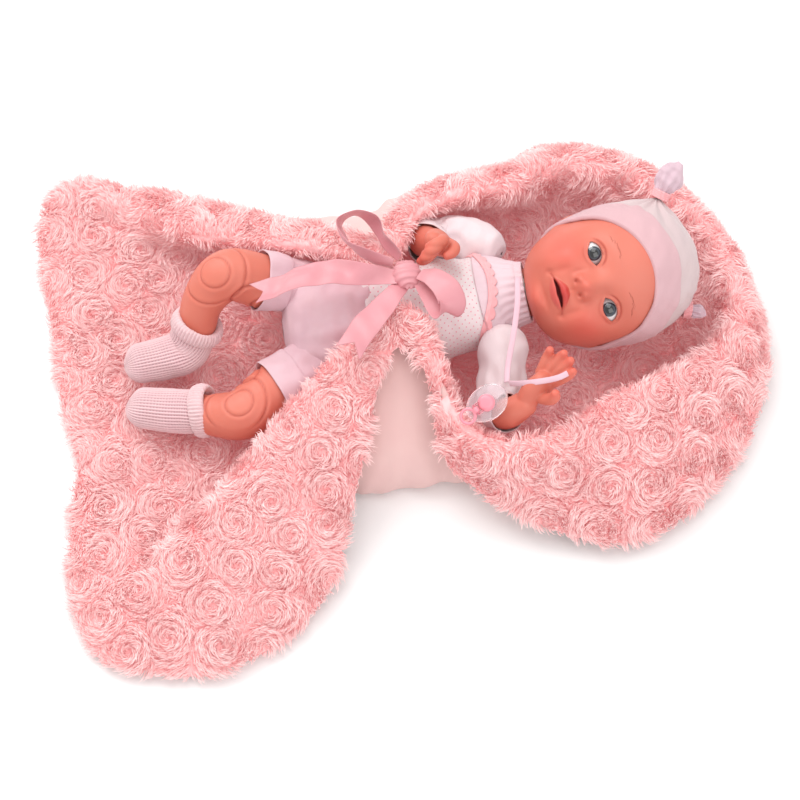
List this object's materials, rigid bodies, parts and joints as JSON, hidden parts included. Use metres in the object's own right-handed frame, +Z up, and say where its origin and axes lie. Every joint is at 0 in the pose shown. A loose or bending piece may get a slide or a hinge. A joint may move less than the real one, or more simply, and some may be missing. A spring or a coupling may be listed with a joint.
{
  "type": "interactive baby doll",
  "caption": "Baby doll with vinyl head and limbs, cloth body and sound module, lying in a rose-plush blanket tied with a satin bow, with a pacifier on a ribbon.",
  "frame": {"origin": "On the underside of the blanket, on the surface it lies on, below the knot of the bow", "axes": "+X from the feet to the head, +Y to the doll's right side, +Z up out of the doll's chest"},
  "size_m": [0.444, 0.3522, 0.1042],
  "materials": {
    "skin_vinyl": "soft vinyl, satin, peach with pink blush",
    "plush": "long soft pile in rose-shaped tufts",
    "lining": "smooth brushed knit",
    "satin": "satin ribbon with a sheen",
    "jersey": "fine cotton jersey",
    "lilac_jersey": "cotton jersey, pale lilac pink",
    "wool": "ribbed knit",
    "trim": "woven trim and thread",
    "eye": "glossy",
    "white_plastic": "fine satin",
    "clear_plastic": "clear and glossy",
    "pink_plastic": "glossy",
    "body_cloth": "plain woven, filled",
    "board": "solder mask",
    "steel": "plain",
    "black_plastic": "matt"
  },
  "bodies": {
    "doll_and_blanket": {"body_cloth": "body_cloth", "pocket_flap": "body_cloth", "neck_plug": "skin_vinyl", "neck_tie": "white_plastic", "module_rear_housing": "white_plastic", "module_front_housing": "white_plastic", "housing_screw_1": "steel", "housing_screw_2": "steel", "circuit_board": "board", "tact_switch": "black_plastic", "button_cell_1": "steel", "button_cell_2": "steel", "button_cell_3": "steel", "battery_door": "white_plastic", "door_screw": "steel", "button_spring": "steel", "speaker_cone": "black_plastic", "speaker_magnet": "steel", "speaker_lead_1": "trim", "speaker_lead_2": "black_plastic", "shirt": "jersey", "shirt_trim": "trim", "shorts": "lilac_jersey", "pacifier_shield": "clear_plastic", "pacifier_nipple": "clear_plastic", "pacifier_knob": "pink_plastic", "lanyard_ribbon": "lilac_jersey", "bow_knot": "satin", "bow_loop_far": "satin", "bow_loop_near": "satin", "bow_tail_far": "satin", "bow_tail_near": "satin", "blanket_lining": "lining", "blanket_plush": "plush"},
    "head": {"head_shell": "skin_vinyl", "eye_right": "eye", "eye_left": "eye", "hat_crown": "jersey", "hat_brim": "lilac_jersey", "hat_ear_right": "jersey", "hat_ear_left": "jersey", "hat_thread_right": "trim", "hat_thread_left": "trim"},
    "right_arm": {"arm_right": "skin_vinyl", "sleeve_right": "jersey"},
    "left_arm": {"arm_left": "skin_vinyl", "sleeve_left": "jersey", "lanyard_hand_loop": "lilac_jersey"},
    "right_leg": {"leg_right": "skin_vinyl", "shorts_leg_right": "lilac_jersey", "sock_right": "wool", "sock_cuff_right": "wool"},
    "left_leg": {"leg_left": "skin_vinyl", "shorts_leg_left": "lilac_jersey", "sock_left": "wool", "sock_cuff_left": "wool"},
    "button": {"push_button": "pink_plastic"},
    "switch": {"power_switch": "black_plastic"},
    "ring": {"pacifier_ring": "pink_plastic"}
  },
  "joints": [
    {"name": "neck_swivel", "type": "hinge", "parent": "doll_and_blanket", "child": "head", "pos_m": [0.066, -0.001, 0.048], "axis": [1, 0, 0], "range_deg": [-12, 12]},
    {"name": "right_shoulder", "type": "hinge", "parent": "doll_and_blanket", "child": "right_arm", "pos_m": [0.05, 0.033, 0.046], "axis": [0, 1, 0], "range_deg": [0, 20]},
    {"name": "left_shoulder", "type": "hinge", "parent": "doll_and_blanket", "child": "left_arm", "pos_m": [0.05, -0.033, 0.046], "axis": [0, 1, 0], "range_deg": [-10, 5]},
    {"name": "right_hip", "type": "hinge", "parent": "doll_and_blanket", "child": "right_leg", "pos_m": [-0.064, 0.024, 0.043], "axis": [0, 1, 0], "range_deg": [0, 20]},
    {"name": "left_hip", "type": "hinge", "parent": "doll_and_blanket", "child": "left_leg", "pos_m": [-0.064, -0.024, 0.038], "axis": [0, 1, 0], "range_deg": [0, 15]},
    {"name": "button_press", "type": "slide", "parent": "doll_and_blanket", "child": "button", "axis": [0, 0, -1], "range_m": [0, 0.0025], "stiffness_N_per_m": 250, "springref_m": -0.0015, "deforming": ["button_spring"]},
    {"name": "power_slide", "type": "slide", "parent": "doll_and_blanket", "child": "switch", "axis": [1, 0, 0], "range_m": [0, 0.003]},
    {"name": "ring_hinge", "type": "hinge", "parent": "doll_and_blanket", "child": "ring", "pos_m": [0.02142, -0.08914, 0.07493], "axis": [-0.4645, 0.8418, 0.2749], "range_deg": [0, 50]}
  ]
}
